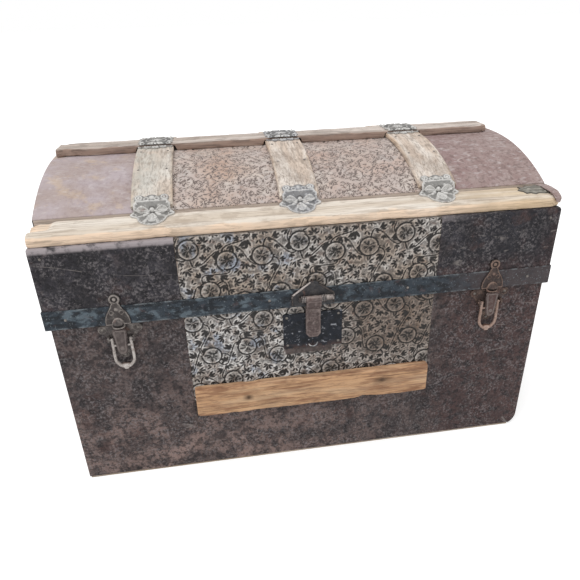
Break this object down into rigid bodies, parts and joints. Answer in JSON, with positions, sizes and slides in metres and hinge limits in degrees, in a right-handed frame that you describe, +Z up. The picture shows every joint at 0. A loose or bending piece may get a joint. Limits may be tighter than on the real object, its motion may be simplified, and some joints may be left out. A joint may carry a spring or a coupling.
{
  "type": "dome top trunk",
  "caption": "Low dome-top trunk of boards under stamped tin, with wooden slats, bent hoops, iron clamps, hasp lock, draw latches and leather end handles.",
  "frame": {"origin": "centre of the underside of the bottom board, on the floor", "axes": "+X to the right seen from the front, along the long side; +Y to the back, where the hinges are; +Z up"},
  "size_m": [0.8312, 0.5231, 0.4986],
  "materials": {
    "pine_boards": "bare, aged",
    "weathered_slats": "bare, weathered",
    "embossed_tin": "stamped, worn",
    "painted_tin": "worn japanned",
    "band_iron": "worn black",
    "clamp_iron": "dull grey",
    "hasp_iron": "rusted brown",
    "bright_steel": "worn bright",
    "strap_leather": "aged"
  },
  "bodies": {
    "body": {"bottom_board": "pine_boards", "front_board": "pine_boards", "back_board": "pine_boards", "end_board_left": "pine_boards", "end_board_right": "pine_boards", "body_tin_left": "painted_tin", "body_tin_right": "painted_tin", "body_tin_embossed": "embossed_tin", "body_tin_lower": "painted_tin", "lower_slat": "weathered_slats", "lock_case": "hasp_iron", "latch_base_left": "clamp_iron", "latch_base_right": "clamp_iron", "handle_strap_left": "strap_leather", "handle_strap_right": "strap_leather", "handle_loop_left_front": "clamp_iron", "handle_loop_left_back": "clamp_iron", "handle_loop_right_front": "clamp_iron", "handle_loop_right_back": "clamp_iron", "hinge_leaf_body_left": "clamp_iron", "hinge_leaf_body_right": "clamp_iron", "hinge_pin_left": "bright_steel", "hinge_pin_right": "bright_steel"},
    "lid": {"lid_front_rail": "pine_boards", "lid_back_rail": "pine_boards", "lid_end_left": "pine_boards", "lid_end_right": "pine_boards", "lid_deck": "pine_boards", "lid_tin_left": "painted_tin", "lid_tin_right": "painted_tin", "lid_tin_embossed": "embossed_tin", "dome_tin_left": "painted_tin", "dome_tin_embossed": "embossed_tin", "dome_tin_right": "painted_tin", "lid_band": "band_iron", "rim_slat_front": "weathered_slats", "rim_slat_back": "weathered_slats", "crest_slat": "weathered_slats", "hoop_left": "weathered_slats", "hoop_middle": "weathered_slats", "hoop_right": "weathered_slats", "hoop_clamp_left": "clamp_iron", "hoop_clamp_middle": "clamp_iron", "hoop_clamp_right": "clamp_iron", "crest_clamp_left": "clamp_iron", "crest_clamp_middle": "clamp_iron", "crest_clamp_right": "clamp_iron", "rim_corner_clamp": "clamp_iron", "hasp_mount": "hasp_iron", "hasp_pin": "bright_steel", "latch_catch_left": "clamp_iron", "latch_catch_right": "clamp_iron", "hinge_leaf_lid_left": "clamp_iron", "hinge_leaf_lid_right": "clamp_iron"},
    "hasp": {"hasp": "hasp_iron"},
    "lock_bolt": {"lock_bolt": "bright_steel"},
    "bail_left": {"latch_bail_left": "bright_steel"},
    "bail_right": {"latch_bail_right": "bright_steel"},
    "tongue_left": {"latch_tongue_left": "hasp_iron"},
    "tongue_right": {"latch_tongue_right": "hasp_iron"}
  },
  "joints": [
    {"name": "lid_hinge", "type": "hinge", "parent": "body", "child": "lid", "pos_m": [0, 0.2558, 0.289], "axis": [-1, 0, 0], "range_deg": [0, 100]},
    {"name": "hasp_hinge", "type": "hinge", "parent": "lid", "child": "hasp", "pos_m": [0.003, -0.2583, 0.304], "axis": [-1, 0, 0], "range_deg": [0, 160]},
    {"name": "lock_bolt_slide", "type": "slide", "parent": "body", "child": "lock_bolt", "axis": [1, 0, 0], "range_m": [0, 0.009]},
    {"name": "bail_hinge_left", "type": "hinge", "parent": "body", "child": "bail_left", "pos_m": [-0.281, -0.2545, 0.266], "axis": [-1, 0, 0], "range_deg": [0, 150]},
    {"name": "tongue_hinge_left", "type": "hinge", "parent": "bail_left", "child": "tongue_left", "pos_m": [-0.281, -0.2545, 0.256], "axis": [-1, 0, 0], "range_deg": [-150, 0]},
    {"name": "bail_hinge_right", "type": "hinge", "parent": "body", "child": "bail_right", "pos_m": [0.287, -0.2545, 0.266], "axis": [-1, 0, 0], "range_deg": [0, 150]},
    {"name": "tongue_hinge_right", "type": "hinge", "parent": "bail_right", "child": "tongue_right", "pos_m": [0.287, -0.2545, 0.256], "axis": [-1, 0, 0], "range_deg": [-150, 0]}
  ],
  "couplings": [
    {"joint": "tongue_hinge_left", "follows": "bail_hinge_left", "ratio": -1},
    {"joint": "tongue_hinge_right", "follows": "bail_hinge_right", "ratio": -1}
  ]
}
